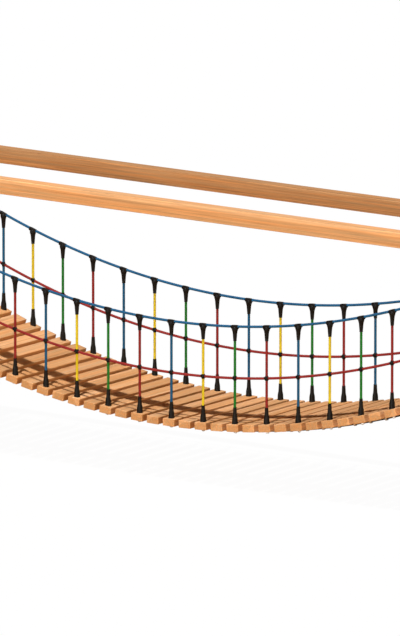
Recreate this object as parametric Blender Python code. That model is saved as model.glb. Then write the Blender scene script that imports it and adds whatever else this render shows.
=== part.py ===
# Rope suspension footbridge: a sagging plank deck with rope railings, hung between four timber posts.
# Metres, +Z up. X runs along the bridge and Y across it, with the near side at -Y and the ground at Z = 0.
import math

import bmesh
import bpy
from mathutils import Matrix, Vector

# Driving dimensions of the deck and the frame
ROPE_CURVE = 6.30             # catenary constant that the deck, the mid ropes and the handrails share
PLANK_PITCH = 0.140           # measured along the deck's curve
PLANKS_PER_HALF = 16          # planks on each side of the middle one
PLANK_WIDTH = 0.100
PLANK_LENGTH = 1.040
PLANK_THICKNESS = 0.054
PLANK_CHAMFER = 0.004
DECK_LOW = 0.460              # top of the middle plank above the ground
RAIL_SPACING = 0.960          # between the two railings, and between the posts across the bridge
HANDRAIL_HEIGHT = 0.709       # from the deck's curve to the rope's centre
MID_ROPE_HEIGHT = 0.332
BEAM_ABOVE_HANDRAIL = 0.770   # from the handrail's lowest point to the beam's underside
TIMBER = 0.110                # square section of the posts, top beams and sills
TIMBER_CHAMFER = 0.006
BEAM_OVERHANG = 0.080         # past the posts' outer faces
END_GAP = 0.050               # between the last plank's upper edge and the sill

# Ropes and their fittings
ROPE_RADIUS = 0.008
ROPE_SIDES = 8
BEARER_INSET = 0.140          # from the plank ends to the bearer ropes under them
FOOT_HEIGHT = 0.120
FOOT_SHOULDER = 0.055
FOOT_BASE_RADIUS = 0.022
FOOT_SHOULDER_RADIUS = 0.019
CUFF_RADIUS = 0.0108          # narrow end of a foot or a T-connector, around the hanger rope
TEE_DROP = 0.120              # from the handrail's centre down to the T-connector's narrow end
TEE_NECK_DROP = 0.050
TEE_NECK_RADIUS = 0.0135
TEE_TOP_RADIUS = 0.020
SLEEVE_LENGTH = 0.066
SLEEVE_RADIUS = 0.013
CROSS_RADIUS = 0.0135
CROSS_HALF_HEIGHT = 0.0135
PLATE_SIDES = 12
PLATE_RADIUS = 0.030
PLATE_THICKNESS = 0.006
FERRULE_RADIUS = 0.0125
RAILING_FERRULE = 0.040
BEARER_FERRULE = 0.018

CLEARANCE = 0.0003            # between neighbouring solids
BITE = 0.0015                 # how far fused shapes reach into each other

# Worked out from the dimensions above
HALF_RAIL = RAIL_SPACING / 2
HALF_TIMBER = TIMBER / 2
FLAT_SHARE = math.cos(math.pi / ROPE_SIDES)      # a rope's flat against its corner radius
ROPE_FLAT = ROPE_RADIUS * FLAT_SHARE
LAST_ARC = PLANKS_PER_HALF * PLANK_PITCH
LAST_X = ROPE_CURVE * math.asinh(LAST_ARC / ROPE_CURVE)
LAST_EDGE_X = LAST_X + PLANK_WIDTH / 2 * math.cos(math.atan(LAST_ARC / ROPE_CURVE))
POST_FACE_X = LAST_EDGE_X + END_GAP
POST_X = POST_FACE_X + HALF_TIMBER
BEAM_BOTTOM = DECK_LOW + HANDRAIL_HEIGHT + BEAM_ABOVE_HANDRAIL
SIDES = {"near": -1, "far": 1}
ENDS = {"left": -1, "right": 1}

# Colour and roughness of each kind of piece
FRAME_TIMBER = ((0.50, 0.25, 0.10, 1.0), 0.65)
DECK_TIMBER = ((0.62, 0.34, 0.15, 1.0), 0.60)
HANDRAIL = ((0.02, 0.13, 0.30, 1.0), 0.80)
RAILING_NET = ((0.30, 0.03, 0.03, 1.0), 0.80)
BEARER = ((0.02, 0.02, 0.02, 1.0), 0.85)


def clear_scene():
    for item in list(bpy.data.objects):
        bpy.data.objects.remove(item, do_unlink=True)


def sag(x):
    return ROPE_CURVE * (math.cosh(x / ROPE_CURVE) - 1)


# The deck's curve is followed by its arc length, counted from the middle of the bridge.
def deck_point(arc, y=0.0):
    x = ROPE_CURVE * math.asinh(arc / ROPE_CURVE)
    return Vector((x, y, DECK_LOW + sag(x)))


def deck_slope(arc):
    return math.atan(arc / ROPE_CURVE)


def deck_normal(arc):
    angle = deck_slope(arc)
    return Vector((-math.sin(angle), 0, math.cos(angle)))


def plank_arc(number):
    return (number - 1 - PLANKS_PER_HALF) * PLANK_PITCH


def make_material(name, finish):
    colour, roughness = finish
    material = bpy.data.materials.new(name + "_finish")
    material.use_nodes = True
    shader = material.node_tree.nodes["Principled BSDF"]
    shader.inputs["Base Color"].default_value = colour
    shader.inputs["Roughness"].default_value = roughness
    shader.inputs["Metallic"].default_value = 0.0
    return material


def add_object(name, mesh, finish):
    item = bpy.data.objects.new(name, mesh)
    bpy.context.scene.collection.objects.link(item)
    item.data.materials.append(make_material(name, finish))
    return item


def finish_mesh(shape, name):
    mesh = bpy.data.meshes.new(name)
    shape.to_mesh(mesh)
    shape.free()
    return mesh


def box_mesh(name, size):
    shape = bmesh.new()
    bmesh.ops.create_cube(shape, size=1.0)
    bmesh.ops.scale(shape, vec=size, verts=shape.verts)
    return finish_mesh(shape, name)


def add_timber(name, size, centre, chamfer, finish):
    item = add_object(name, box_mesh(name, size), finish)
    item.location = centre
    bevel = item.modifiers.new("chamfer", "BEVEL")
    bevel.width = chamfer
    bevel.segments = 1
    bevel.limit_method = "ANGLE"
    return item


def ring_turns():
    return [(index + 0.5) * math.tau / ROPE_SIDES for index in range(ROPE_SIDES)]


def skin_between(shape, first, second):
    for index in range(len(first)):
        following = (index + 1) % len(first)
        shape.faces.new((first[index], first[following], second[following], second[index]))


def close_stack(shape, rings):
    for first, second in zip(rings, rings[1:]):
        skin_between(shape, first, second)
    shape.faces.new(rings[0])
    shape.faces.new(rings[-1])
    bmesh.ops.recalc_face_normals(shape, faces=shape.faces)


# An eight-sided tube through points that lie in one upright plane along the bridge, mitred at its bends
def tube_mesh(name, points, radius):
    shape = bmesh.new()
    across = Vector((0, 1, 0))
    rings = []
    for index, point in enumerate(points):
        into = (point - points[index - 1]).normalized() if index else None
        out = (points[index + 1] - point).normalized() if index + 1 < len(points) else into
        into = into or out
        along = (into + out).normalized()
        lift = Vector((-along.z, 0, along.x)) / along.dot(out)
        ring = []
        for turn in ring_turns():
            ring.append(shape.verts.new(point + radius * (math.cos(turn) * lift + math.sin(turn) * across)))
        rings.append(ring)
    close_stack(shape, rings)
    return finish_mesh(shape, name)


# Each railing rope bends half-way between two hangers, so that it runs straight through the connectors.
def railing_bends(height, y):
    hangers = PLANKS_PER_HALF // 2
    bends = []
    for index in range(-hangers - 1, hangers + 1):
        place = deck_point((index + 0.5) * 2 * PLANK_PITCH, y)
        bends.append(place + Vector((0, 0, height)))
    return bends


def railing_line(arc, height):
    before = deck_point(arc - PLANK_PITCH)
    after = deck_point(arc + PLANK_PITCH)
    rise = (after.z - before.z) / (after.x - before.x)
    level = before.z + rise * (deck_point(arc).x - before.x) + height
    return level, math.atan(rise)


# Each bearer rope bends under the gaps, so that it lies flat under every plank.
def bearer_bends(y):
    chord_rise = PLANK_PITCH ** 2 / (8 * ROPE_CURVE)
    depth = PLANK_THICKNESS + CLEARANCE + ROPE_FLAT + chord_rise
    bends = []
    for index in range(-PLANKS_PER_HALF - 1, PLANKS_PER_HALF + 1):
        arc = (index + 0.5) * PLANK_PITCH
        bends.append(deck_point(arc, y) - deck_normal(arc) * depth)
    return bends


# Foot, hanger rope, cross connector and T-connector, turned about the hanger's upright axis.
# The foot's base and the T-connector's top are slanted like the plank and the handrail that they meet.
def hanger_mesh(name, arc, y):
    base = deck_point(arc)
    slant = math.tan(deck_slope(arc))
    stretch = 1 / math.cos(deck_slope(arc))
    handrail, _ = railing_line(arc, HANDRAIL_HEIGHT)
    middle, _ = railing_line(arc, MID_ROPE_HEIGHT)
    levels = [
        (base.z + CLEARANCE * stretch, FOOT_BASE_RADIUS, slant),
        (base.z + FOOT_SHOULDER, FOOT_SHOULDER_RADIUS, 0),
        (base.z + FOOT_HEIGHT, CUFF_RADIUS, 0),
        (base.z + FOOT_HEIGHT + BITE, ROPE_RADIUS, 0),
        (middle - CROSS_HALF_HEIGHT, ROPE_RADIUS, 0),
        (middle - CROSS_HALF_HEIGHT / 2, CROSS_RADIUS, 0),
        (middle + CROSS_HALF_HEIGHT / 2, CROSS_RADIUS, 0),
        (middle + CROSS_HALF_HEIGHT, ROPE_RADIUS, 0),
        (handrail - TEE_DROP - BITE, ROPE_RADIUS, 0),
        (handrail - TEE_DROP, CUFF_RADIUS, 0),
        (handrail - TEE_NECK_DROP, TEE_NECK_RADIUS, 0),
        (handrail - (ROPE_FLAT + BITE) * stretch, TEE_TOP_RADIUS, slant),
    ]
    shape = bmesh.new()
    rings = []
    for level, radius, tilt in levels:
        ring = []
        for turn in ring_turns():
            reach = radius * math.cos(turn)
            ring.append(shape.verts.new((base.x + reach, y + radius * math.sin(turn), level + reach * tilt)))
        rings.append(ring)
    close_stack(shape, rings)
    return finish_mesh(shape, name)


# The T-connector's crosswise sleeve, an open ring that the handrail rope runs through
def sleeve_mesh(name, arc, y):
    bore = ROPE_RADIUS + CLEARANCE / FLAT_SHARE
    half = SLEEVE_LENGTH / 2
    shape = bmesh.new()
    rings = []
    for along, radius in ((-half, SLEEVE_RADIUS), (half, SLEEVE_RADIUS), (half, bore), (-half, bore)):
        ring = []
        for turn in ring_turns():
            ring.append(shape.verts.new((along, radius * math.sin(turn), radius * math.cos(turn))))
        rings.append(ring)
    for first, second in zip(rings, rings[1:] + rings[:1]):
        skin_between(shape, first, second)
    bmesh.ops.recalc_face_normals(shape, faces=shape.faces)
    level, slope = railing_line(arc, HANDRAIL_HEIGHT)
    place = Matrix.Translation((deck_point(arc).x, y, level))
    shape.transform(place @ Matrix.Rotation(-slope, 4, "Y"))
    return finish_mesh(shape, name)


def plate_mesh(name, centre):
    shape = bmesh.new()
    bmesh.ops.create_cone(
        shape, cap_ends=True, segments=PLATE_SIDES, radius1=PLATE_RADIUS, radius2=PLATE_RADIUS,
        depth=PLATE_THICKNESS)
    shape.transform(Matrix.Translation(centre) @ Matrix.Rotation(math.pi / 2, 4, "Y"))
    return finish_mesh(shape, name)


def new_group(name):
    group = bpy.data.collections.new(name)
    bpy.context.scene.collection.children.link(group)
    return group


def add_guide(group, name, mesh):
    guide = bpy.data.objects.new(name, mesh)
    guide.hide_render = True
    guide.display_type = "WIRE"
    group.objects.link(guide)


# Ends a rope in a plate against the timber and a ferrule along the rope.
def add_end_fitting(group, name, bends, here, inner, ferrule_length):
    outward = math.copysign(1, bends[here].x)
    stretch = bends[here] - bends[inner]
    share = (outward * (POST_FACE_X - CLEARANCE - PLATE_THICKNESS / 2) - bends[inner].x) / stretch.x
    centre = bends[inner] + stretch * share
    knee = centre - Vector((outward * PLATE_THICKNESS, 0, 0))
    tip = knee - stretch.normalized() * ferrule_length
    add_guide(group, name + "_plate", plate_mesh(name, centre))
    add_guide(group, name + "_ferrule", tube_mesh(name, [centre, knee, tip], FERRULE_RADIUS))
    bends[here] = centre


def add_rope(name, bends, finish, ferrule_length, group):
    add_end_fitting(group, name + "_left", bends, 0, 1, ferrule_length)
    add_end_fitting(group, name + "_right", bends, -1, -2, ferrule_length)
    rope = add_object(name, tube_mesh(name, bends, ROPE_RADIUS), finish)
    union = rope.modifiers.new("fused", "BOOLEAN")
    union.operation = "UNION"
    union.solver = "EXACT"
    union.operand_type = "COLLECTION"
    union.collection = group


def build_frame():
    post_height = BEAM_BOTTOM - CLEARANCE
    beam_length = 2 * (POST_X + HALF_TIMBER + BEAM_OVERHANG)
    for side_name, side in SIDES.items():
        y = side * HALF_RAIL
        for end_name, end in ENDS.items():
            add_timber(
                f"post_{side_name}_{end_name}", (TIMBER, TIMBER, post_height),
                (end * POST_X, y, post_height / 2), TIMBER_CHAMFER, FRAME_TIMBER)
        add_timber(
            f"top_beam_{side_name}", (beam_length, TIMBER, TIMBER),
            (0, y, BEAM_BOTTOM + HALF_TIMBER), TIMBER_CHAMFER, FRAME_TIMBER)
    sill_length = RAIL_SPACING - TIMBER - 2 * CLEARANCE
    sill_top = DECK_LOW + sag(POST_FACE_X)
    for end_name, end in ENDS.items():
        add_timber(
            f"sill_{end_name}", (TIMBER, sill_length, TIMBER),
            (end * POST_X, 0, sill_top - HALF_TIMBER), TIMBER_CHAMFER, FRAME_TIMBER)


def build_planks():
    for number in range(1, 2 * PLANKS_PER_HALF + 2):
        arc = plank_arc(number)
        plank = add_timber(
            f"plank_{number:02d}", (PLANK_WIDTH, PLANK_LENGTH, PLANK_THICKNESS),
            deck_point(arc) - deck_normal(arc) * PLANK_THICKNESS / 2, PLANK_CHAMFER, DECK_TIMBER)
        plank.rotation_euler = (0, -deck_slope(arc), 0)


def build_bearer_ropes():
    for side_name, side in SIDES.items():
        group = new_group(f"bearer_fittings_{side_name}")
        bends = bearer_bends(side * (PLANK_LENGTH / 2 - BEARER_INSET))
        add_rope(f"bearer_rope_{side_name}", bends, BEARER, BEARER_FERRULE, group)


def build_railings():
    for side_name, side in SIDES.items():
        y = side * HALF_RAIL
        fittings = new_group(f"handrail_fittings_{side_name}")
        bends = railing_bends(HANDRAIL_HEIGHT, y)
        add_rope(f"handrail_rope_{side_name}", bends, HANDRAIL, RAILING_FERRULE, fittings)
        hangers = new_group(f"hangers_{side_name}")
        for number in range(1, 2 * PLANKS_PER_HALF + 2, 2):
            label = f"{side_name}_{number:02d}"
            add_guide(hangers, "hanger_" + label, hanger_mesh(label, plank_arc(number), y))
            add_guide(hangers, "sleeve_" + label, sleeve_mesh(label, plank_arc(number), y))
        bends = railing_bends(MID_ROPE_HEIGHT, y)
        add_rope(f"railing_net_{side_name}", bends, RAILING_NET, RAILING_FERRULE, hangers)


clear_scene()
build_frame()
build_planks()
build_bearer_ropes()
build_railings()
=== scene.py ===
import math
import random

import bpy
from mathutils import Matrix, Vector


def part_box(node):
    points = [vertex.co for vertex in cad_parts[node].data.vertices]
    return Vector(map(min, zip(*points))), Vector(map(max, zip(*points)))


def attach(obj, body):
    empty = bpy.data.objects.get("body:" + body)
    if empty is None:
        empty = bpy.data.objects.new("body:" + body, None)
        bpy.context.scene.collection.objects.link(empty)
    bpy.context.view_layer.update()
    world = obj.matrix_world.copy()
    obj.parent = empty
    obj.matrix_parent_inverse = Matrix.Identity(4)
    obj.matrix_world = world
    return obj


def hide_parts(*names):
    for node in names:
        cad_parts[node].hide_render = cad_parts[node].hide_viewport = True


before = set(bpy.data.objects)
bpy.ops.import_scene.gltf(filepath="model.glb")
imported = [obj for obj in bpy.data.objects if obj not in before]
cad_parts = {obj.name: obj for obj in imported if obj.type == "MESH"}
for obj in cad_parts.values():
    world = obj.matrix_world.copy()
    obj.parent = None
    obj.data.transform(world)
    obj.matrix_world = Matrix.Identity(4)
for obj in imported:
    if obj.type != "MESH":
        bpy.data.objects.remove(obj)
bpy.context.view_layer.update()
bpy.ops.object.select_all(action="DESELECT")
print("frame loaded with", len(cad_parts), "nodes")


# camera, at the angle of the picture: a very long lens from far away, so that parallel lines stay parallel
photoView = {
    "turn": 35.55,                  # degrees round from straight across the bridge
    "rise": 11.34,
    "aim": (-0.0909, 0.0, 1.1030),
    "distance": 114.47,
    "lens": 900.0,
    "sensor": 36.0,
    "near": 40.0,
    "far": 260.0,
}


def addCamera():
    turn = math.radians(photoView["turn"])
    rise = math.radians(photoView["rise"])
    back = Vector((math.sin(turn) * math.cos(rise), -math.cos(turn) * math.cos(rise), math.sin(rise)))
    bpy.ops.object.camera_add(location=Vector(photoView["aim"]) + back * photoView["distance"])
    camera = bpy.context.object
    camera.name = "photoCamera"
    camera.rotation_euler = back.to_track_quat("Z", "Y").to_euler()
    camera.data.lens = photoView["lens"]
    camera.data.sensor_width = photoView["sensor"]
    camera.data.clip_start = photoView["near"]
    camera.data.clip_end = photoView["far"]
    bpy.context.scene.camera = camera


# small helpers for node trees
def newTree(name):
    material = bpy.data.materials.new(name)
    material.use_nodes = True
    tree = material.node_tree
    return material, tree, tree.nodes["Principled BSDF"]


def addNode(tree, kind, **settings):
    made = tree.nodes.new("ShaderNode" + kind)
    for key, value in settings.items():
        setattr(made, key, value)
    return made


def feed(tree, socket, value):
    if isinstance(value, bpy.types.NodeSocket):
        tree.links.new(value, socket)
    else:
        socket.default_value = value


def calc(tree, operation, *terms):
    made = addNode(tree, "Math", operation=operation)
    for socket, term in zip(made.inputs, terms):
        feed(tree, socket, term)
    return made.outputs[0]


def spread(tree, value, low, high, newLow, newHigh):
    made = addNode(tree, "MapRange")
    limits = {"From Min": low, "From Max": high, "To Min": newLow, "To Max": newHigh}
    feed(tree, made.inputs["Value"], value)
    for name, term in limits.items():
        feed(tree, made.inputs[name], term)
    return made.outputs["Result"]


def stretched(tree, vector, scale, shift=(0, 0, 0)):
    made = addNode(tree, "Mapping")
    feed(tree, made.inputs["Vector"], vector)
    made.inputs["Scale"].default_value = scale
    made.inputs["Location"].default_value = shift
    return made.outputs["Vector"]


def noise(tree, vector, detail=2.0, roughness=0.5):
    made = addNode(tree, "TexNoise")
    feed(tree, made.inputs["Vector"], vector)
    made.inputs["Scale"].default_value = 1.0
    made.inputs["Detail"].default_value = detail
    made.inputs["Roughness"].default_value = roughness
    return made


def blendColours(tree, share, first, second, kind="MIX"):
    made = addNode(tree, "Mix", data_type="RGBA", blend_type=kind)
    feed(tree, made.inputs["Factor"], share)
    for socket, term in ((made.inputs["A"], first), (made.inputs["B"], second)):
        feed(tree, [s for s in made.inputs if s.name == socket.name and s.type == "RGBA"][0], solid(term))
    return [s for s in made.outputs if s.type == "RGBA"][0]


def solid(term):
    return (*term, 1.0) if isinstance(term, tuple) and len(term) == 3 else term


def addBump(tree, shader, height, strength, distance):
    made = addNode(tree, "Bump")
    feed(tree, made.inputs["Height"], height)
    made.inputs["Strength"].default_value = strength
    made.inputs["Distance"].default_value = distance
    tree.links.new(made.outputs["Normal"], shader.inputs["Normal"])


# wood: growth rings around a pith that lies beside each timber, so that the faces show long streaks and the ends arcs
frameWood = {
    "sapwood": (0.96, 0.55, 0.27),
    "pale": (0.80, 0.45, 0.21),
    "deep": (0.58, 0.28, 0.11),
    "late": (0.40, 0.16, 0.055),
    "heartRadius": 0.129,           # sapwood begins this far from the pith
    "ringGap": 0.0062,
    "bandGap": 0.011,
    "streakWidth": 0.014,
    "streakLength": 0.75,
    "streakSwing": 0.20,            # how far the streaks go lighter and darker
    "wander": 0.012,                # how far the rings stray over a length
    "toneSwing": 0.20,              # how far one timber goes lighter or darker than the next
}
deckWood = {
    "sapwood": (0.90, 0.52, 0.26),
    "pale": (0.82, 0.46, 0.215),
    "deep": (0.66, 0.345, 0.145),
    "late": (0.46, 0.20, 0.075),
    "heartRadius": 0.120,
    "ringGap": 0.0052,
    "bandGap": 0.013,
    "streakWidth": 0.012,
    "streakLength": 0.60,
    "streakSwing": 0.13,
    "wander": 0.010,
    "toneSwing": 0.07,
}
woodTints = {"orange": (1.06, 0.96, 0.84), "brown": (0.96, 1.02, 1.10)}


def woodMaterial(name, look):
    material, tree, shader = newTree(name)
    place = addNode(tree, "Attribute", attribute_name="woodPlace").outputs["Vector"]
    tone = addNode(tree, "Attribute", attribute_name="woodTone").outputs["Fac"]
    endShare = addNode(tree, "Attribute", attribute_name="woodEnd").outputs["Fac"]

    drift = noise(tree, stretched(tree, place, (0.9, 5.0, 5.0)), 2.0)
    centred = addNode(tree, "VectorMath", operation="SUBTRACT")
    feed(tree, centred.inputs[0], drift.outputs["Color"])
    centred.inputs[1].default_value = (0.5, 0.5, 0.5)
    pushed = addNode(tree, "VectorMath", operation="MULTIPLY_ADD")
    feed(tree, pushed.inputs[0], centred.outputs[0])
    pushed.inputs[1].default_value = (0.0, look["wander"], look["wander"])
    feed(tree, pushed.inputs[2], place)
    fromPith = addNode(tree, "VectorMath", operation="LENGTH")
    feed(tree, fromPith.inputs[0], stretched(tree, pushed.outputs[0], (0.0, 1.0, 1.0)))
    radius = fromPith.outputs["Value"]

    ring = calc(tree, "FRACT", calc(tree, "DIVIDE", radius, look["ringGap"]))
    ringRamp = addNode(tree, "ValToRGB")
    ringRamp.color_ramp.elements[0].position = 0.35
    ringRamp.color_ramp.elements[1].position = 0.88
    last = ringRamp.color_ramp.elements.new(1.0)
    last.color = (0.0, 0.0, 0.0, 1.0)
    feed(tree, ringRamp.inputs["Fac"], ring)
    lateWood = ringRamp.outputs["Color"]

    bands = addNode(tree, "TexNoise", noise_dimensions="1D")
    feed(tree, bands.inputs["W"], calc(tree, "DIVIDE", radius, look["bandGap"]))
    bands.inputs["Detail"].default_value = 1.0
    bandShare = spread(tree, bands.outputs["Fac"], 0.36, 0.64, 0.0, 1.0)
    along, across = 1 / look["streakLength"], 1 / look["streakWidth"]
    wide = noise(tree, stretched(tree, place, (along, across, across)), 2.0, 0.6).outputs["Fac"]
    streaks = noise(tree, stretched(tree, place, (3 * along, 4 * across, 4 * across)), 3.0, 0.6).outputs["Fac"]
    fibres = noise(tree, stretched(tree, place, (14.0, 1500.0, 1500.0)), 2.0, 0.6).outputs["Fac"]
    hue = noise(tree, stretched(tree, place, (along, 0.7 * across, 0.7 * across), (3.0, 1.0, 2.0)), 1.0)

    base = blendColours(tree, bandShare, look["pale"], look["deep"])
    fromHeart = calc(tree, "SUBTRACT", radius, look["heartRadius"])
    base = blendColours(tree, spread(tree, fromHeart, -0.005, 0.005, 0.0, 0.8), base, look["sapwood"])
    base = blendColours(tree, calc(tree, "MULTIPLY", lateWood, 0.42), base, look["late"])
    tintShare = spread(tree, hue.outputs["Fac"], 0.36, 0.64, 0.0, 1.0)
    tint = blendColours(tree, tintShare, woodTints["orange"], woodTints["brown"])
    base = blendColours(tree, 1.0, base, tint, "MULTIPLY")
    swing, toneSwing = look["streakSwing"], look["toneSwing"]
    light = spread(tree, wide, 0.3, 0.7, 1.0 - swing, 1.0 + 0.8 * swing)
    light = calc(tree, "MULTIPLY", light, spread(tree, streaks, 0.25, 0.75, 0.86, 1.13))
    light = calc(tree, "MULTIPLY", light, spread(tree, tone, -1.0, 1.0, 1.0 - toneSwing, 1.0 + toneSwing))
    light = calc(tree, "MULTIPLY", light, spread(tree, endShare, 0.0, 1.0, 1.0, 0.95))
    colour = addNode(tree, "VectorMath", operation="SCALE")
    feed(tree, colour.inputs[0], base)
    feed(tree, colour.inputs["Scale"], light)
    feed(tree, shader.inputs["Base Color"], colour.outputs[0])

    feed(tree, shader.inputs["Roughness"], spread(tree, fibres, 0.3, 0.7, 0.52, 0.68))
    shader.inputs["Specular IOR Level"].default_value = 0.3
    height = calc(tree, "MULTIPLY_ADD", lateWood, 0.5, streaks)
    height = calc(tree, "MULTIPLY_ADD", fibres, 0.6, height)
    addBump(tree, shader, height, 0.35, 0.0005)
    return material


# rope: coloured yarns that run across the strands' twist, with painted shade that darkens the colour down in the
# grooves between the strands
ropeColours = {
    "blue_rope": (0.002, 0.120, 0.300),
    "red_rope": (0.340, 0.016, 0.014),
    "yellow_rope": (0.920, 0.740, 0.016),
    "green_rope": (0.006, 0.240, 0.020),
    "bearer_rope": (0.014, 0.014, 0.016),
}
# crown and groove: the radii between which the painted shade deepens into the grooves
ropeWeave = {"yarnsRound": 56, "yarnsPerMetre": 420.0, "crown": 0.0098, "groove": 0.0079}


def ropeMaterial(name, colour):
    material, tree, shader = newTree(name)
    place = addNode(tree, "Attribute", attribute_name="ropePlace").outputs["Vector"]
    parts = addNode(tree, "SeparateXYZ")
    feed(tree, parts.inputs[0], place)
    angle = calc(tree, "ARCTAN2", parts.outputs["Y"], parts.outputs["X"])
    turns = calc(tree, "MULTIPLY", angle, float(ropeWeave["yarnsRound"]))
    climb = calc(tree, "MULTIPLY", parts.outputs["Z"], math.tau * ropeWeave["yarnsPerMetre"])
    yarn = spread(tree, calc(tree, "SINE", calc(tree, "ADD", turns, climb)), -1.0, 1.0, 0.0, 1.0)
    # painted shade: the colour goes darker from the strands' crowns down into the grooves between them
    across = addNode(tree, "VectorMath", operation="LENGTH")
    feed(tree, across.inputs[0], stretched(tree, place, (1.0, 1.0, 0.0)))
    crown = spread(tree, across.outputs["Value"], ropeWeave["groove"], ropeWeave["crown"], 0.0, 1.0)
    fuzz = noise(tree, stretched(tree, place, (1400.0, 1400.0, 700.0)), 2.0, 0.6).outputs["Fac"]
    wear = noise(tree, stretched(tree, place, (60.0, 60.0, 9.0)), 3.0).outputs["Fac"]

    # brightness: the painted groove shade, times the yarns, fuzz and wear
    light = spread(tree, crown, 0.0, 1.0, 0.55, 1.05)
    light = calc(tree, "MULTIPLY", light, spread(tree, yarn, 0.0, 1.0, 0.85, 1.1))
    light = calc(tree, "MULTIPLY", light, spread(tree, fuzz, 0.3, 0.7, 0.85, 1.15))
    light = calc(tree, "MULTIPLY", light, spread(tree, wear, 0.3, 0.7, 0.88, 1.12))
    shade = addNode(tree, "VectorMath", operation="SCALE")
    shade.inputs[0].default_value = colour
    feed(tree, shade.inputs["Scale"], light)
    feed(tree, shader.inputs["Base Color"], shade.outputs[0])
    feed(tree, shader.inputs["Roughness"], spread(tree, fuzz, 0.3, 0.7, 0.62, 0.82))
    shader.inputs["Specular IOR Level"].default_value = 0.3
    shader.inputs["Sheen Weight"].default_value = 0.12
    shader.inputs["Sheen Roughness"].default_value = 0.5
    addBump(tree, shader, calc(tree, "MULTIPLY_ADD", fuzz, 0.5, yarn), 0.5, 0.0003)
    return material


def plasticMaterial(name):
    material, tree, shader = newTree(name)
    place = addNode(tree, "TexCoord").outputs["Object"]
    grain = noise(tree, stretched(tree, place, (1600.0, 1600.0, 1600.0)), 2.0, 0.6).outputs["Fac"]
    cloud = noise(tree, stretched(tree, place, (35.0, 35.0, 35.0)), 3.0).outputs["Fac"]
    feed(tree, shader.inputs["Base Color"], blendColours(tree, cloud, (0.004, 0.004, 0.004), (0.009, 0.008, 0.008)))
    feed(tree, shader.inputs["Roughness"], spread(tree, cloud, 0.3, 0.7, 0.46, 0.60))
    shader.inputs["Specular IOR Level"].default_value = 0.18
    addBump(tree, shader, grain, 0.3, 0.0002)
    return material


def zincMaterial(name):
    material, tree, shader = newTree(name)
    place = addNode(tree, "TexCoord").outputs["Object"]
    cloud = noise(tree, stretched(tree, place, (140.0, 140.0, 140.0)), 3.0).outputs["Fac"]
    brush = noise(tree, stretched(tree, place, (300.0, 300.0, 2600.0)), 2.0).outputs["Fac"]
    feed(tree, shader.inputs["Base Color"], blendColours(tree, cloud, (0.52, 0.53, 0.54), (0.70, 0.71, 0.72)))
    feed(tree, shader.inputs["Roughness"], spread(tree, cloud, 0.3, 0.7, 0.30, 0.48))
    shader.inputs["Metallic"].default_value = 1.0
    addBump(tree, shader, brush, 0.15, 0.0001)
    return material


finishes = {
    "frame_timber": woodMaterial("frameTimber", frameWood),
    "deck_timber": woodMaterial("deckTimber", deckWood),
    "black_fitting": plasticMaterial("blackPlastic"),
    "zinc_fixing": zincMaterial("zincPlate"),
}
for slotName, slotColour in ropeColours.items():
    finishes[slotName] = ropeMaterial(slotName + "Yarn", slotColour)
print("finishes made:", len(finishes))


# modelling helpers
def startEdit(piece, kind="VERT"):
    bpy.ops.object.select_all(action="DESELECT")
    piece.select_set(True)
    bpy.context.view_layer.objects.active = piece
    bpy.ops.object.mode_set(mode="EDIT")
    bpy.ops.mesh.select_mode(type=kind)
    bpy.ops.mesh.select_all(action="DESELECT")


def pickVertices(piece, wanted):
    bpy.ops.object.mode_set(mode="OBJECT")
    for vertex in piece.data.vertices:
        vertex.select = wanted(vertex)
    bpy.ops.object.mode_set(mode="EDIT")


def endEdit():
    bpy.ops.object.mode_set(mode="OBJECT")


def faceOutwards(piece):
    startEdit(piece)
    bpy.ops.mesh.select_all(action="SELECT")
    bpy.ops.mesh.normals_make_consistent(inside=False)
    endEdit()


def smoothUnder(piece, degrees):
    bpy.ops.object.select_all(action="DESELECT")
    piece.select_set(True)
    bpy.context.view_layer.objects.active = piece
    bpy.ops.object.shade_smooth_by_angle(angle=math.radians(degrees))


def applyModifier(piece, modifier):
    bpy.ops.object.select_all(action="DESELECT")
    piece.select_set(True)
    bpy.context.view_layer.objects.active = piece
    bpy.ops.object.modifier_apply(modifier=modifier.name)


def roundEdges(piece, width, steps, degrees=30):
    bevel = piece.modifiers.new("roundEdges", "BEVEL")
    bevel.width = width
    bevel.segments = steps
    bevel.limit_method = "ANGLE"
    bevel.angle_limit = math.radians(degrees)
    applyModifier(piece, bevel)


# shades the rounded edges round and keeps the wide faces flat
def shadeTimber(piece):
    smoothUnder(piece, 40)
    weighted = piece.modifiers.new("flatFaces", "WEIGHTED_NORMAL")
    weighted.weight = 100
    weighted.keep_sharp = True
    applyModifier(piece, weighted)


def combine(piece, other, operation):
    cut = piece.modifiers.new("combine", "BOOLEAN")
    cut.operation = operation
    cut.solver = "EXACT"
    cut.object = other
    applyModifier(piece, cut)
    bpy.data.objects.remove(other, do_unlink=True)


def placeMesh(piece, matrix):
    piece.data.transform(matrix)
    piece.data.update()


def copyPiece(piece, name):
    twin = piece.copy()
    twin.data = piece.data.copy()
    twin.name = name
    bpy.context.scene.collection.objects.link(twin)
    return twin


def joinPieces(parts, name):
    bpy.ops.object.select_all(action="DESELECT")
    for part in parts:
        part.select_set(True)
    bpy.context.view_layer.objects.active = parts[0]
    if len(parts) > 1:
        bpy.ops.object.join()
    parts[0].name = name
    return parts[0]


def dress(piece, slotName, *nodes):
    piece.data.materials.clear()
    piece.data.materials.append(finishes[slotName])
    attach(piece, "root")
    if nodes:
        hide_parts(*nodes)
    return piece


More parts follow.
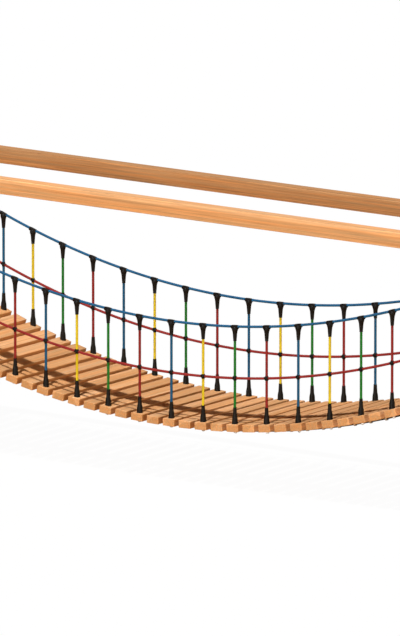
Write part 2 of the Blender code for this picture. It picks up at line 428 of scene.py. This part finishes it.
# turns a body round the Z axis from rings of (height, radius), bottom to top
def turnBody(name, rings, sides):
    height, radius = rings[0]
    bpy.ops.object.select_all(action="DESELECT")
    bpy.ops.mesh.primitive_circle_add(vertices=sides, radius=radius, fill_type="NGON", location=(0, 0, height))
    piece = bpy.context.object
    piece.name = name
    bpy.ops.object.transform_apply(location=True, rotation=True, scale=True)
    startEdit(piece)
    bpy.ops.mesh.select_all(action="SELECT")
    for (height, radius), (level, reach) in zip(rings, rings[1:]):
        bpy.ops.mesh.extrude_region_move(TRANSFORM_OT_translate={"value": (0, 0, level - height)})
        share = reach / radius
        bpy.ops.transform.resize(value=(share, share, 1), center_override=(0, 0, level))
    endEdit()
    faceOutwards(piece)
    return piece


# the deck's hanging curve, in the bridge's lengthwise plane
deckCurve = {
    "catenary": 6.30,
    "plankPitch": 0.140,            # along the curve
    "planks": 33,
    "handrailUp": 0.709,            # rope centre above the curve
    "midRopeUp": 0.332,
}
catenary = deckCurve["catenary"]
pitch = deckCurve["plankPitch"]
plankCount = deckCurve["planks"]
middlePlank = (plankCount + 1) // 2
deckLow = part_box(f"plank_{middlePlank:02d}")[1].z
ropeLift = (2 * pitch) ** 2 / (8 * catenary)       # the ropes hang straight through their connectors
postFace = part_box("post_near_right")[0].x          # inner faces of the posts, at +X and at -X
railY = (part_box("post_far_left")[0].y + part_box("post_far_left")[1].y) / 2
sides = {"near": -1, "far": 1}
ends = {"left": -1, "right": 1}


def curveX(arc):
    return catenary * math.asinh(arc / catenary)


def curveZ(x):
    return deckLow + catenary * (math.cosh(x / catenary) - 1)


def slopeAt(arc):
    return math.atan(arc / catenary)


def slopeAtX(x):
    return math.atan(math.sinh(x / catenary))


def plankArc(number):
    return (number - middlePlank) * pitch


# a plank's own frame, at a place across the bridge and a depth below its top
def plankLay(number, y, depth):
    arc = plankArc(number)
    slope = slopeAt(arc)
    top = Vector((curveX(arc), y, curveZ(curveX(arc))))
    inward = Vector((-math.sin(slope), 0, math.cos(slope)))
    return Matrix.Translation(top - inward * depth) @ Matrix.Rotation(-slope, 4, "Y")


# every second plank, from the first, carries a hanger on both sides
hangers = [{"arc": plankArc(number), "x": curveX(plankArc(number)), "slope": slopeAt(plankArc(number))}
           for number in range(1, plankCount + 1, 2)]


# the lines of the long ropes, from the end plate on one post or sill to that on the other
ropeLine = {
    "plateThick": 0.006,
    "plateGap": 0.0003,
    "steps": 32,
    "bearerInset": 0.140,           # from the plank ends to the bearer ropes under them
    "bearerSlack": 0.0003,
    "radius": 0.0098,
}
ropeEndX = postFace - ropeLine["plateGap"] - ropeLine["plateThick"] / 2
plankLow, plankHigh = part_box(f"plank_{middlePlank:02d}")
bearerY = plankHigh.y - ropeLine["bearerInset"]
bearerDepth = plankHigh.z - plankLow.z + ropeLine["bearerSlack"] + ropeLine["radius"]


def ropeStations():
    steps = ropeLine["steps"]
    return [-ropeEndX + 2 * ropeEndX * index / steps for index in range(steps + 1)]


def railingLine(up, sign):
    return [Vector((x, sign * railY, curveZ(x) + up + ropeLift)) for x in ropeStations()]


# close under the planks, and stretched a little to reach the sills
def bearerLine(sign):
    points = []
    for x in ropeStations():
        slope = slopeAtX(x)
        top = Vector((x, sign * bearerY, curveZ(x)))
        points.append(top - Vector((-math.sin(slope), 0, math.cos(slope))) * bearerDepth)
    stretch = ropeEndX / points[-1].x
    return [Vector((point.x * stretch, point.y, point.z)) for point in points]


# timber: planed pieces with rounded edges, grain along their own length
timberShape = {"edgeRound": 0.006, "edgeSteps": 3}
plankShape = {
    "width": 0.100,                 # along the bridge
    "length": 1.040,                # across it
    "thick": 0.054,
    "edgeRound": 0.004,
    "edgeSteps": 3,
}


def sawTimber(name, length, width, depth, edgeRound, edgeSteps):
    bpy.ops.object.select_all(action="DESELECT")
    bpy.ops.mesh.primitive_cube_add(size=1.0, location=(0, 0, 0))
    piece = bpy.context.object
    piece.name = name
    startEdit(piece)
    bpy.ops.mesh.select_all(action="SELECT")
    bpy.ops.transform.resize(value=(length, width, depth), center_override=(0, 0, 0))
    endEdit()
    roundEdges(piece, edgeRound, edgeSteps)
    return piece


# writes where each point lay in the log, before the timber is turned into place
def markGrain(piece, pith, along, tone):
    points = piece.data.vertices
    reach = max(point.co.x for point in points)
    layers = piece.data.attributes
    for name, kind in (("woodPlace", "FLOAT_VECTOR"), ("woodTone", "FLOAT"), ("woodEnd", "FLOAT")):
        layers.new(name, kind, "POINT")
    place, tones, endFace = layers["woodPlace"], layers["woodTone"], layers["woodEnd"]
    for point in points:
        spot = point.co + Vector((along, pith[0], pith[1]))
        place.data[point.index].vector = spot
        tones.data[point.index].value = tone
        endFace.data[point.index].value = 1.0 if abs(point.co.x) > reach - 0.0005 else 0.0


frameTimbers = {
    # node: (grain axis, pith across and down from the middle, place along the log, tone)
    # the near beam is set lighter and its pith lies low, so that its upper part comes out paler; the far beam is set
    # darker
    "top_beam_near": ("X", (0.000, 0.090), 0.0, 0.45),
    "top_beam_far": ("X", (0.045, 0.030), 7.0, -0.60),
    "post_near_left": ("Z", (0.070, -0.020), 13.0, 0.0),
    "post_near_right": ("Z", (-0.030, 0.075), 17.0, 0.2),
    "post_far_left": ("Z", (0.065, 0.050), 21.0, -0.3),
    "post_far_right": ("Z", (-0.080, -0.015), 25.0, -0.1),
    "sill_left": ("Y", (0.030, 0.090), 31.0, -0.1),
    "sill_right": ("Y", (-0.050, 0.080), 35.0, 0.1),
}
grainTurns = {
    "X": Matrix.Identity(4),
    "Y": Matrix.Rotation(math.radians(90), 4, "Z"),
    "Z": Matrix.Rotation(math.radians(-90), 4, "Y"),
}


# counterbores: bolt heads and nuts that lie below the timber's face
counterbore = {"radius": 0.0160, "depth": 0.0180, "sides": 24}
sillBolts = {"apart": 0.050}        # two bolts through each post into the end of a sill
sillLow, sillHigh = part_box("sill_right")
sillMiddle = (sillLow.z + sillHigh.z) / 2
postMiddle = (sillLow.x + sillHigh.x) / 2
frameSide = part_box("post_far_right")[1].y          # outer faces of the posts, at +Y and at -Y
frameEnd = sillHigh.x                              # outer faces of the posts and sills, at +X and at -X
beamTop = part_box("top_beam_near")[1].z


# a place on a timber's face, with the way that the face looks
def faceSpot(x, y, z, way):
    return {"at": Vector((x, y, z)), "way": Vector(way)}


def sunkSpots(node):
    kind, *words = node.split("_")
    if kind == "top":
        y = sides[words[-1]] * railY
        return [faceSpot(end * postMiddle, y, beamTop, (0, 0, 1)) for end in ends.values()]
    if kind == "post":
        side, end = sides[words[0]], ends[words[1]]
        levels = [sillMiddle + share * sillBolts["apart"] / 2 for share in (-1, 1)]
        return [faceSpot(end * postMiddle, side * frameSide, level, (0, side, 0)) for level in levels]
    end = ends[words[0]]
    level = bearerLine(1)[-1].z
    return [faceSpot(end * frameEnd, side * bearerY, level, (end, 0, 0)) for side in sides.values()]


# turns a piece made along +Z to look the way of a face and moves it there, sunk by a depth
def seatOn(piece, spot, sunk=0.0):
    turn = spot["way"].to_track_quat("Z", "Y").to_matrix().to_4x4()
    placeMesh(piece, Matrix.Translation(spot["at"] - spot["way"] * sunk) @ turn)


def dressFrame():
    radius, depth = counterbore["radius"], counterbore["depth"]
    bore = turnBody("bore", [(0, radius), (depth, radius), (2 * depth, radius)], counterbore["sides"])
    for node, (axis, pith, along, tone) in frameTimbers.items():
        low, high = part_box(node)
        size = high - low
        length, width, thick = {"X": (size.x, size.y, size.z), "Y": (size.y, size.x, size.z),
                                "Z": (size.z, size.y, size.x)}[axis]
        piece = sawTimber("timber_" + node, length, width, thick, timberShape["edgeRound"], timberShape["edgeSteps"])
        lay = Matrix.Translation((low + high) / 2) @ grainTurns[axis]
        placeMesh(piece, lay)
        for spot in sunkSpots(node):
            cutter = copyPiece(bore, "cutter")
            seatOn(cutter, spot, depth)
            combine(piece, cutter, "DIFFERENCE")
        shadeTimber(piece)
        placeMesh(piece, lay.inverted())
        markGrain(piece, pith, along, tone)
        placeMesh(piece, lay)
        dress(piece, "frame_timber", node)
    bpy.data.objects.remove(bore, do_unlink=True)


def dressPlanks():
    dice = random.Random(41)
    width, length, thick = plankShape["width"], plankShape["length"], plankShape["thick"]
    model = sawTimber("plankModel", length, width, thick, plankShape["edgeRound"], plankShape["edgeSteps"])
    shadeTimber(model)
    for number in range(1, plankCount + 1):
        piece = copyPiece(model, f"deck_plank_{number:02d}")
        pith = (dice.uniform(-0.09, 0.09), dice.uniform(0.02, 0.11) * dice.choice((-1, 1)))
        markGrain(piece, pith, number * 3.0, dice.uniform(-1, 1))
        placeMesh(piece, plankLay(number, 0, thick / 2) @ grainTurns["Y"])
        dress(piece, "deck_timber", f"plank_{number:02d}")
    bpy.data.objects.remove(model, do_unlink=True)


# six-strand rope: a lobed outline, twisted with the Screw modifier and bent along a hanging line
ropeShape = {
    "strands": 6,
    "pointsPerStrand": 4,
    "crown": ropeLine["radius"],
    "shoulder": 0.0094,
    "groove": 0.0079,
    "lay": 0.096,                   # length of one full turn of the strands
    "step": 0.0050,
}


def twistRope(name, length):
    around = ropeShape["strands"] * ropeShape["pointsPerStrand"]
    bpy.ops.object.select_all(action="DESELECT")
    bpy.ops.mesh.primitive_circle_add(vertices=around, radius=ropeShape["crown"], fill_type="NOTHING",
                                      location=(0, 0, 0))
    piece = bpy.context.object
    piece.name = name
    startEdit(piece)
    for part, reach in ((2, "groove"), (1, "shoulder"), (3, "shoulder")):
        pickVertices(piece, lambda vertex: vertex.index % ropeShape["pointsPerStrand"] == part)
        share = ropeShape[reach] / ropeShape["crown"]
        bpy.ops.transform.resize(value=(share, share, 1), center_override=(0, 0, 0))
    endEdit()
    screw = piece.modifiers.new("twist", "SCREW")
    screw.axis = "Z"
    screw.angle = math.tau * length / ropeShape["lay"]
    screw.screw_offset = length
    screw.steps = max(2, round(length / ropeShape["step"]))
    screw.render_steps = screw.steps
    screw.use_merge_vertices = False
    applyModifier(piece, screw)
    startEdit(piece)
    bpy.ops.mesh.select_all(action="SELECT")
    bpy.ops.mesh.fill_holes(sides=0)
    bpy.ops.mesh.select_all(action="SELECT")
    bpy.ops.mesh.normals_make_consistent(inside=False)
    endEdit()
    place = piece.data.attributes.new("ropePlace", "FLOAT_VECTOR", "POINT")
    for vertex in piece.data.vertices:
        place.data[vertex.index].vector = vertex.co
    return piece


def hangRope(name, points):
    line = bpy.data.curves.new(name + "Line", "CURVE")
    line.dimensions = "3D"
    spline = line.splines.new("BEZIER")
    spline.bezier_points.add(len(points) - 1)
    for knot, point in zip(spline.bezier_points, points):
        knot.co = point
        knot.handle_left_type = "AUTO"
        knot.handle_right_type = "AUTO"
    guide = bpy.data.objects.new(name + "Line", line)
    bpy.context.scene.collection.objects.link(guide)
    bpy.context.view_layer.update()
    piece = twistRope(name, spline.calc_length())
    bend = piece.modifiers.new("hang", "CURVE")
    bend.object = guide
    bend.deform_axis = "POS_Z"
    applyModifier(piece, bend)
    bpy.data.objects.remove(guide, do_unlink=True)
    smoothUnder(piece, 60)
    return piece


def hangRailings():
    for side, sign in sides.items():
        handrail = railingLine(deckCurve["handrailUp"], sign)
        midRope = railingLine(deckCurve["midRopeUp"], sign)
        dress(hangRope("handrail_" + side, handrail), "blue_rope", "handrail_rope_" + side)
        dress(hangRope("mid_rope_" + side, midRope), "red_rope", "railing_net_" + side)


def hangBearers():
    for side, sign in sides.items():
        dress(hangRope("bearer_" + side, bearerLine(sign)), "bearer_rope", "bearer_rope_" + side)


# hanger ropes in four colours, the same on both sides
hangerShape = {"footTop": 0.112, "teeBottom": 0.098}
hangerColours = ["blue_rope", "yellow_rope", "green_rope", "red_rope"]


def hangRailingRopes():
    length = deckCurve["handrailUp"] + ropeLift - hangerShape["footTop"] - hangerShape["teeBottom"]
    model = twistRope("hangerModel", length)
    smoothUnder(model, 60)
    for side, sign in sides.items():
        for turn, colour in enumerate(hangerColours):
            copies = []
            for index, hanger in enumerate(hangers):
                if index % len(hangerColours) == turn:
                    twin = copyPiece(model, f"hanger{index}")
                    base = Vector((hanger["x"], sign * railY, curveZ(hanger["x"]) + hangerShape["footTop"]))
                    placeMesh(twin, Matrix.Translation(base))
                    copies.append(twin)
            piece = joinPieces(copies, f"hangers_{colour.split('_')[0]}_{side}")
            dress(piece, colour, "railing_net_" + side)
    bpy.data.objects.remove(model, do_unlink=True)


# feet: bell-shaped mouldings that stand on the planks
footShape = {
    "rings": [
        (0.0000, 0.0210), (0.0008, 0.0225), (0.0055, 0.0225), (0.0080, 0.0213), (0.0200, 0.0209), (0.0320, 0.0203),
        (0.0420, 0.0194), (0.0500, 0.0180), (0.0570, 0.0163), (0.0640, 0.0152), (0.0760, 0.0144), (0.0920, 0.0137),
        (0.1060, 0.0129), (0.1130, 0.0122), (0.1140, 0.0127), (0.1185, 0.0127), (0.1200, 0.0118), (0.1200, 0.0099),
        (0.1120, 0.0099),
    ],
    "sides": 24,
}


def addFeet():
    model = turnBody("footModel", footShape["rings"], footShape["sides"])
    smoothUnder(model, 50)
    height = footShape["rings"][-3][0]
    for side, sign in sides.items():
        copies = []
        for hanger in hangers:
            twin = copyPiece(model, "foot")
            for vertex in twin.data.vertices:
                share = max(0.0, 1 - vertex.co.z / height)
                vertex.co.z += vertex.co.x * math.tan(hanger["slope"]) * share ** 2
            base = Vector((hanger["x"], sign * railY, curveZ(hanger["x"]) + 0.0003 / math.cos(hanger["slope"])))
            placeMesh(twin, Matrix.Translation(base))
            copies.append(twin)
        dress(joinPieces(copies, "feet_" + side), "black_fitting", "railing_net_" + side)
    bpy.data.objects.remove(model, do_unlink=True)


# T-connectors: an upright body under a sleeve that the handrail runs through
teeShape = {
    "body": [
        (-0.0980, 0.0099), (-0.1055, 0.0099), (-0.1055, 0.0120), (-0.1043, 0.0128), (-0.1005, 0.0128),
        (-0.0995, 0.0123), (-0.0860, 0.0136), (-0.0680, 0.0151), (-0.0500, 0.0164), (-0.0380, 0.0182),
        (-0.0280, 0.0212), (-0.0200, 0.0232), (-0.0130, 0.0232), (-0.0070, 0.0205), (-0.0020, 0.0160),
        (0.0020, 0.0100),
    ],
    "sleeve": [
        (-0.0240, 0.0105), (-0.0298, 0.0105), (-0.0298, 0.0112), (-0.0290, 0.0121), (-0.0265, 0.0128),
        (-0.0220, 0.0132), (-0.0130, 0.0136), (0.0000, 0.0138), (0.0130, 0.0136), (0.0220, 0.0132),
        (0.0265, 0.0128), (0.0290, 0.0121), (0.0298, 0.0112), (0.0298, 0.0105), (0.0240, 0.0105),
    ],
    "sleeveDeep": 1.14,             # the sleeve is deeper than wide, and the rope runs through its upper part
    "sleeveDrop": 0.0036,
    "sides": 24,
}


def addTees():
    body = turnBody("teeBody", teeShape["body"], teeShape["sides"])
    sleeve = turnBody("teeSleeve", teeShape["sleeve"], teeShape["sides"])
    drop = Matrix.Translation((0, 0, -teeShape["sleeveDrop"]))
    deepen = Matrix.Scale(teeShape["sleeveDeep"], 4, (0, 0, 1))
    placeMesh(sleeve, drop @ deepen @ Matrix.Rotation(math.radians(90), 4, "Y"))
    models = []
    for hanger in hangers:
        tee = copyPiece(body, "tee")
        cross = copyPiece(sleeve, "sleeve")
        placeMesh(cross, Matrix.Rotation(-hanger["slope"], 4, "Y"))
        combine(tee, cross, "UNION")
        smoothUnder(tee, 40)
        models.append(tee)
    for side, sign in sides.items():
        copies = []
        for hanger, tee in zip(hangers, models):
            twin = copyPiece(tee, "teeCopy")
            level = curveZ(hanger["x"]) + deckCurve["handrailUp"] + ropeLift
            placeMesh(twin, Matrix.Translation((hanger["x"], sign * railY, level)))
            copies.append(twin)
        dress(joinPieces(copies, "tee_connectors_" + side), "black_fitting", "railing_net_" + side)
    for spare in [body, sleeve, *models]:
        bpy.data.objects.remove(spare, do_unlink=True)


# cross connectors: a ball with a short collar round each rope
crossShape = {
    "ball": 0.0155,
    "collar": [(-0.0170, 0.0099), (-0.0170, 0.0112), (-0.0160, 0.0121), (0.0160, 0.0121), (0.0170, 0.0112),
               (0.0170, 0.0099)],
}


def addCrosses():
    bpy.ops.object.select_all(action="DESELECT")
    bpy.ops.mesh.primitive_uv_sphere_add(segments=20, ring_count=12, radius=crossShape["ball"], location=(0, 0, 0))
    ball = bpy.context.object
    collar = turnBody("crossCollar", crossShape["collar"], 20)
    models = []
    for hanger in hangers:
        cross = copyPiece(ball, "cross")
        combine(cross, copyPiece(collar, "upright"), "UNION")
        level = copyPiece(collar, "level")
        placeMesh(level, Matrix.Rotation(math.radians(90) - hanger["slope"], 4, "Y"))
        combine(cross, level, "UNION")
        smoothUnder(cross, 40)
        models.append(cross)
    for side, sign in sides.items():
        copies = []
        for hanger, cross in zip(hangers, models):
            twin = copyPiece(cross, "crossCopy")
            level = curveZ(hanger["x"]) + deckCurve["midRopeUp"] + ropeLift
            placeMesh(twin, Matrix.Translation((hanger["x"], sign * railY, level)))
            copies.append(twin)
        dress(joinPieces(copies, "cross_connectors_" + side), "black_fitting", "railing_net_" + side)
    for spare in [ball, collar, *models]:
        bpy.data.objects.remove(spare, do_unlink=True)


# rope ends: a round plate screwed to the timber, a domed boss and a pressed ferrule along the rope
ropeEnd = {
    "plate": [(0.0003, 0.0296), (0.0010, 0.0300), (0.0053, 0.0300), (0.0063, 0.0290), (0.0063, 0.0162),
              (0.0085, 0.0160), (0.0120, 0.0150), (0.0155, 0.0128), (0.0180, 0.0096), (0.0192, 0.0050)],
    "plateSides": 32,
    "screwCircle": 0.0225,
    "screws": 3,
    "screwHead": [(0.0060, 0.0045), (0.0075, 0.0045), (0.0088, 0.0034), (0.0093, 0.0014)],
    "ferruleStart": 0.0093,         # from the timber's face, inside the boss
    "ferruleRadius": 0.0125,
    "pressedRadius": 0.0117,
    "pressGap": 0.0070,
    "railingFerrule": 0.040,
    "bearerFerrule": 0.018,
}


# a ferrule along +Z from its hidden end, with pressed rings and a bore for the rope
def turnFerrule(name, length):
    full, pressed = ropeEnd["ferruleRadius"], ropeEnd["pressedRadius"]
    rings = [(0.0, pressed), (0.0008, full)]
    count = int((length - 0.008) / ropeEnd["pressGap"])
    first = length - 0.004 - (count - 0.5) * ropeEnd["pressGap"]
    for index in range(count):
        middle = first + index * ropeEnd["pressGap"]
        rings += [(middle - 0.0017, full), (middle - 0.0010, pressed), (middle + 0.0010, pressed),
                  (middle + 0.0017, full)]
    rings += [(length - 0.0008, full), (length, pressed), (length, ropeLine["radius"] + 0.0001),
              (length - 0.0060, ropeLine["radius"] + 0.0001)]
    return turnBody(name, rings, 24)


def makePlate():
    plate = turnBody("endPlate", ropeEnd["plate"], ropeEnd["plateSides"])
    screws = []
    for index in range(ropeEnd["screws"]):
        screw = turnBody("screw", ropeEnd["screwHead"], 12)
        turn = Matrix.Rotation(math.tau * (index + 0.25) / ropeEnd["screws"], 4, "Z")
        placeMesh(screw, turn @ Matrix.Translation((ropeEnd["screwCircle"], 0, 0)))
        screws.append(screw)
    return joinPieces([plate, *screws], "endPlate")


def addRopeEnds():
    plate = makePlate()
    longFerrule = turnFerrule("longFerrule", ropeEnd["railingFerrule"])
    shortFerrule = turnFerrule("shortFerrule", ropeEnd["bearerFerrule"])
    for side, sign in sides.items():
        lines = [(railingLine(deckCurve["handrailUp"], sign), longFerrule),
                 (railingLine(deckCurve["midRopeUp"], sign), longFerrule), (bearerLine(sign), shortFerrule)]
        copies = []
        for line, ferrule in lines:
            for last, inner in ((line[0], line[1]), (line[-1], line[-2])):
                face = math.copysign(postFace, last.x)
                spot = faceSpot(face, last.y, last.z, (-math.copysign(1, last.x), 0, 0))
                back = copyPiece(plate, "plateCopy")
                seatOn(back, spot)
                start = last + (inner - last) * (ropeEnd["ferruleStart"] - postFace + ropeEndX) / abs(inner.x - last.x)
                grip = copyPiece(ferrule, "ferruleCopy")
                seatOn(grip, {"at": start, "way": (inner - last).normalized()})
                copies += [back, grip]
        piece = joinPieces(copies, "rope_ends_" + side)
        smoothUnder(piece, 40)
        dress(piece, "zinc_fixing", "handrail_rope_" + side, "railing_net_" + side, "bearer_rope_" + side)
    for spare in (plate, longFerrule, shortFerrule):
        bpy.data.objects.remove(spare, do_unlink=True)


# bolts: domed nuts on the posts' outer faces behind the rope ends, and sunk heads in beams, posts and sills
boltShape = {
    "wideWasher": [(0.0003, 0.0182), (0.0008, 0.0185), (0.0024, 0.0185), (0.0029, 0.0180)],
    "washer": [(0.0001, 0.0128), (0.0005, 0.0130), (0.0021, 0.0130), (0.0025, 0.0126)],
    "nut": [(0.0022, 0.0102), (0.0034, 0.0110), (0.0116, 0.0110), (0.0126, 0.0102)],
    "dome": [(0.0120, 0.0088), (0.0150, 0.0084), (0.0178, 0.0068), (0.0196, 0.0042), (0.0202, 0.0012)],
    "stub": [(0.0120, 0.0058), (0.0150, 0.0058), (0.0158, 0.0048)],
    "sides": 24,
}


def makeBolt(name, washer, tip):
    parts = [turnBody(name, boltShape[washer], boltShape["sides"]), turnBody("nut", boltShape["nut"], 6),
             turnBody("tip", boltShape[tip], 16)]
    return joinPieces(parts, name)


def addBolts():
    domed = makeBolt("domedNut", "wideWasher", "dome")
    sunk = makeBolt("sunkNut", "washer", "stub")
    copies = []
    for sign in sides.values():
        for up in (deckCurve["handrailUp"], deckCurve["midRopeUp"]):
            line = railingLine(up, sign)
            for last in (line[0], line[-1]):
                end = math.copysign(1, last.x)
                nut = copyPiece(domed, "nutCopy")
                seatOn(nut, faceSpot(end * frameEnd, last.y, last.z, (end, 0, 0)))
                copies.append(nut)
    for node in frameTimbers:
        for spot in sunkSpots(node):
            nut = copyPiece(sunk, "nutCopy")
            seatOn(nut, spot, counterbore["depth"])
            copies.append(nut)
    piece = joinPieces(copies, "frame_bolts")
    smoothUnder(piece, 40)
    dress(piece, "zinc_fixing")
    for spare in (domed, sunk):
        bpy.data.objects.remove(spare, do_unlink=True)


# under the planks: a saddle clip round the bearer rope with two screws, and the nut of each foot
clipShape = {
    "width": 0.018,                 # along the rope
    "sheet": 0.0020,
    "reach": 0.026,                 # from the rope's middle to the end of a flange
    "clearance": 0.0004,
    "screwAt": 0.0195,
    "screwHead": [(0.0018, 0.0044), (0.0030, 0.0044), (0.0042, 0.0033), (0.0047, 0.0013)],
}


# made upside down: the plank's underside is the plane of X and Y, and +Z points down from it
def makeClip():
    radius = ropeLine["radius"] + clipShape["clearance"] + clipShape["sheet"] / 2
    middle = ropeLine["bearerSlack"] + ropeLine["radius"]
    flange = ropeLine["bearerSlack"] + clipShape["sheet"] / 2
    bpy.ops.object.select_all(action="DESELECT")
    bpy.ops.mesh.primitive_circle_add(vertices=20, radius=radius, fill_type="NOTHING", location=(0, 0, middle),
                                      rotation=(0, math.radians(90), 0))
    clip = bpy.context.object
    clip.name = "clip"
    bpy.ops.object.transform_apply(location=True, rotation=True, scale=True)
    startEdit(clip)
    pickVertices(clip, lambda vertex: vertex.co.z < middle - 0.0001)
    bpy.ops.mesh.delete(type="VERT")
    for side in (-1, 1):
        pickVertices(clip, lambda vertex: vertex.co.y * side > radius - 0.0001)
        bpy.ops.mesh.extrude_region_move(TRANSFORM_OT_translate={"value": (0, 0, flange - middle)})
        bpy.ops.mesh.extrude_region_move(
            TRANSFORM_OT_translate={"value": (0, side * (clipShape["reach"] - radius), 0)})
    bpy.ops.mesh.select_all(action="SELECT")
    bpy.ops.mesh.extrude_region_move(TRANSFORM_OT_translate={"value": (clipShape["width"], 0, 0)})
    bpy.ops.mesh.select_all(action="SELECT")
    bpy.ops.transform.translate(value=(-clipShape["width"] / 2, 0, 0))
    bpy.ops.mesh.normals_make_consistent(inside=False)
    endEdit()
    sheet = clip.modifiers.new("sheet", "SOLIDIFY")
    sheet.thickness = clipShape["sheet"]
    sheet.offset = 0.0
    applyModifier(clip, sheet)
    faceOutwards(clip)
    parts = [clip]
    for side in (-1, 1):
        screw = turnBody("clipScrew", clipShape["screwHead"], 10)
        placeMesh(screw, Matrix.Translation((0, side * clipShape["screwAt"], ropeLine["bearerSlack"])))
        parts.append(screw)
    return joinPieces(parts, "clip")


def addPlankFixings():
    clip = makeClip()
    nut = makeBolt("footNut", "washer", "stub")
    thick = plankShape["thick"]
    upsideDown = Matrix.Rotation(math.pi, 4, "X")
    for side, sign in sides.items():
        copies = []
        for number in range(1, plankCount + 1):
            saddle = copyPiece(clip, "clipCopy")
            placeMesh(saddle, plankLay(number, sign * bearerY, thick) @ upsideDown)
            copies.append(saddle)
            if number % 2:
                below = copyPiece(nut, "nutCopy")
                placeMesh(below, plankLay(number, sign * railY, thick) @ upsideDown)
                copies.append(below)
        piece = joinPieces(copies, "plank_fixings_" + side)
        smoothUnder(piece, 40)
        dress(piece, "zinc_fixing")
    for spare in (clip, nut):
        bpy.data.objects.remove(spare, do_unlink=True)


# studio: a white floor and backdrop, a sun overhead and two soft lights, in front and to the right
studio = {
    "floorSize": 160.0,
    "floorGlow": 0.97,              # what the camera sees of it, with no light on it
    "floorShade": 0.03,             # its share that takes shadows
    "floorBounce": (0.54, 0.33, 0.16),
    "backdrop": 1.0,
    "ambient": (0.050, 0.016, 0.010),
}
lamps = {
    # name: (the way it shines, strength, angle in degrees, colour)
    "studioSun": ((-0.05, 0.210, -1.0), 3.00, 1.0, (1.0, 1.0, 1.0)),
    "studioFront": ((-0.12, 0.99, -0.03), 2.45, 24.0, (1.0, 0.99, 0.90)),
    "studioSide": ((-0.96, 0.22, -0.16), 1.00, 24.0, (1.0, 0.78, 0.50)),
}


def addLamps():
    for name, (way, strength, angle, colour) in lamps.items():
        bpy.ops.object.light_add(type="SUN", location=(0, -1, 6))
        lamp = bpy.context.object
        lamp.name = name
        lamp.rotation_euler = (-Vector(way)).to_track_quat("Z", "Y").to_euler()
        lamp.data.energy = strength
        lamp.data.angle = math.radians(angle)
        lamp.data.color = colour


# the camera sees one surface of the floor or backdrop, and the light that bounces sees another
def splitByRay(tree, seen, bounced, target):
    either = addNode(tree, "MixShader")
    feed(tree, either.inputs["Fac"], addNode(tree, "LightPath").outputs["Is Camera Ray"])
    feed(tree, either.inputs[1], bounced)
    feed(tree, either.inputs[2], seen)
    feed(tree, target, either.outputs[0])


def addFloor():
    bpy.ops.object.select_all(action="DESELECT")
    bpy.ops.mesh.primitive_plane_add(size=studio["floorSize"], location=(0, 0, 0))
    floor = bpy.context.object
    floor.name = "paleFloor"
    material, tree, shader = newTree("paleFloor")
    shade = studio["floorShade"]
    shader.inputs["Base Color"].default_value = (shade, shade, shade, 1.0)
    shader.inputs["Roughness"].default_value = 1.0
    shader.inputs["Specular IOR Level"].default_value = 0.0
    shader.inputs["Emission Color"].default_value = (1.0, 1.0, 1.0, 1.0)
    shader.inputs["Emission Strength"].default_value = studio["floorGlow"]
    matt = addNode(tree, "BsdfDiffuse")
    matt.inputs["Color"].default_value = (*studio["floorBounce"], 1.0)
    splitByRay(tree, shader.outputs[0], matt.outputs[0], tree.nodes["Material Output"].inputs["Surface"])
    floor.data.materials.append(material)


def addBackdrop():
    world = bpy.data.worlds.new("studioWorld")
    world.use_nodes = True
    tree = world.node_tree
    ambient = tree.nodes["Background"]
    ambient.inputs["Color"].default_value = (*studio["ambient"], 1.0)
    seen = addNode(tree, "Background")
    seen.inputs["Color"].default_value = (1.0, 1.0, 1.0, 1.0)
    seen.inputs["Strength"].default_value = studio["backdrop"]
    splitByRay(tree, seen.outputs[0], ambient.outputs[0], tree.nodes["World Output"].inputs["Surface"])
    bpy.context.scene.world = world
    bpy.context.scene.view_settings.view_transform = "Standard"


addCamera()
addLamps()
addFloor()
addBackdrop()
print("studio set up")
dressFrame()
dressPlanks()
print("timber dressed")
hangRailings()
hangBearers()
hangRailingRopes()
print("ropes hung")
addFeet()
addTees()
addCrosses()
print("connectors added")
addRopeEnds()
addBolts()
addPlankFixings()
print("fixings added")
